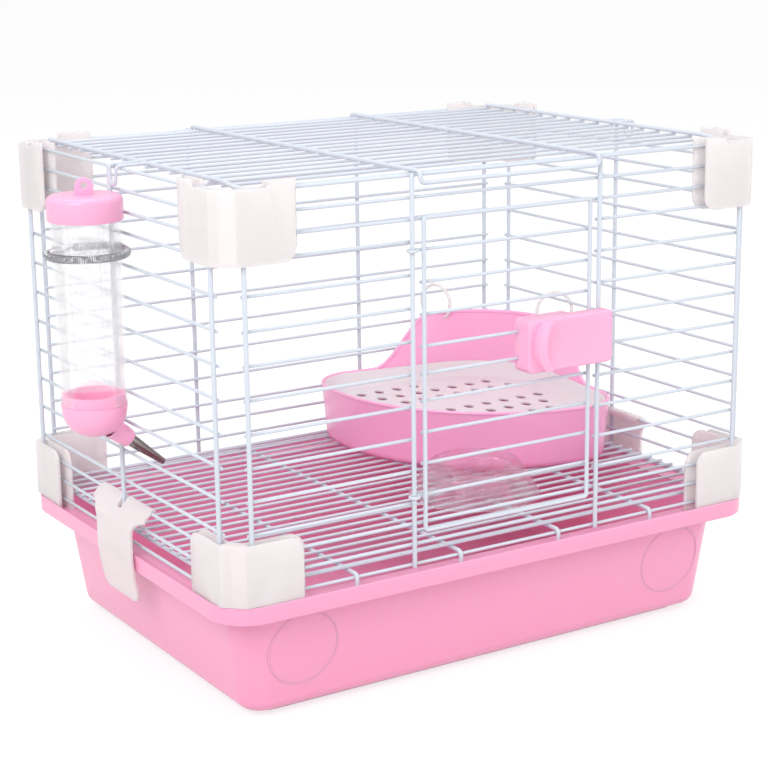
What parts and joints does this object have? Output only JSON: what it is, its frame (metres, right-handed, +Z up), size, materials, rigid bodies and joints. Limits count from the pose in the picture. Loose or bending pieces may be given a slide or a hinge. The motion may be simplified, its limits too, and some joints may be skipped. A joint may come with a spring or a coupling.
{
  "type": "rodent cage",
  "caption": "Small wire rodent cage on a deep plastic tray, with hinged roof and door, sliding latch, drinking bottle, corner litter pan and food bowl.",
  "frame": {"origin": "middle of the tray's underside, on the table", "axes": "+X to the cage's right as seen from the door, +Y to the back, +Z up"},
  "size_m": [0.4928, 0.3375, 0.3585],
  "materials": {
    "tray_plastic": "glossy pink ABS or polystyrene, lightly see-through at its thin edges",
    "coated_wire": "white powder coat on steel wire",
    "corner_plastic": "milky polypropylene",
    "latch_plastic": "pale pink, satin to glossy",
    "clear_plastic": "clear polystyrene",
    "tube_steel": "stainless steel",
    "spring_steel": "zinc-plated spring wire",
    "pan_plastic": "glossy pink plastic",
    "grate_plastic": "white plastic, satin",
    "ring_plastic": "milky plastic"
  },
  "bodies": {
    "cage": {"back_panel": "coated_wire", "base_tray": "tray_plastic", "bottle_base_cup": "clear_plastic", "bottle_body": "clear_plastic", "bottle_spring": "spring_steel", "drinking_tube": "tube_steel", "floor_grille": "coated_wire", "front_panel": "coated_wire", "left_panel": "coated_wire", "litter_pan": "pan_plastic", "lower_corner_back_left": "corner_plastic", "lower_corner_back_right": "corner_plastic", "lower_corner_front_left": "corner_plastic", "lower_corner_front_right": "corner_plastic", "right_panel": "coated_wire", "upper_corner_back_left": "corner_plastic", "upper_corner_back_right": "corner_plastic", "upper_corner_front_left": "corner_plastic", "upper_corner_front_right": "corner_plastic"},
    "lid": {"roof_lid": "coated_wire"},
    "door": {"front_door": "coated_wire"},
    "latch": {"latch_slider": "latch_plastic", "latch_back": "latch_plastic"},
    "left_clip": {"left_tray_clip": "corner_plastic"},
    "right_clip": {"right_tray_clip": "corner_plastic"},
    "cap": {"bottle_cap": "latch_plastic"},
    "ball": {"tube_ball": "tube_steel"},
    "grate": {"litter_grate": "grate_plastic"},
    "bowl": {"food_bowl": "clear_plastic"},
    "back_ring": {"back_pan_ring": "ring_plastic"},
    "right_ring": {"right_pan_ring": "ring_plastic"}
  },
  "joints": [
    {"name": "lid_hinge", "type": "hinge", "parent": "cage", "child": "lid", "pos_m": [0, 0.15485, 0.353], "axis": [-1, 0, 0], "range_deg": [0, 100]},
    {"name": "door_hinge", "type": "hinge", "parent": "cage", "child": "door", "pos_m": [-0.0782, -0.1575, 0.2225], "axis": [0, 0, -1], "range_deg": [0, 140]},
    {"name": "latch_slide", "type": "slide", "parent": "door", "child": "latch", "axis": [-1, 0, 0], "range_m": [0, 0.028]},
    {"name": "left_clip_hinge", "type": "hinge", "parent": "cage", "child": "left_clip", "pos_m": [-0.21235, 0, 0.1214], "axis": [0, 1, 0], "range_deg": [0, 60]},
    {"name": "right_clip_hinge", "type": "hinge", "parent": "cage", "child": "right_clip", "pos_m": [0.21235, 0, 0.1214], "axis": [0, -1, 0], "range_deg": [0, 60]},
    {"name": "cap_turn", "type": "hinge", "parent": "cage", "child": "cap", "pos_m": [-0.2389, -0.0125, 0.33], "axis": [0, 0, 1], "continuous": true},
    {"name": "ball_slide", "type": "slide", "parent": "cage", "child": "ball", "axis": [-0.7771, 0, 0.6293], "range_m": [0, 0.002]},
    {"name": "grate_lift", "type": "slide", "parent": "cage", "child": "grate", "axis": [0, 0, 1], "range_m": [0, 0.03]},
    {"name": "bowl_lift", "type": "slide", "parent": "cage", "child": "bowl", "axis": [0, 0, 1], "range_m": [0, 0.06]},
    {"name": "back_ring_turn", "type": "hinge", "parent": "cage", "child": "back_ring", "pos_m": [0.14217, 0.14564, 0.19415], "axis": [-0.9511, -0.309, 0], "continuous": true},
    {"name": "right_ring_turn", "type": "hinge", "parent": "cage", "child": "right_ring", "pos_m": [0.20314, 0.06167, 0.19415], "axis": [0.309, 0.9511, 0], "continuous": true}
  ]
}
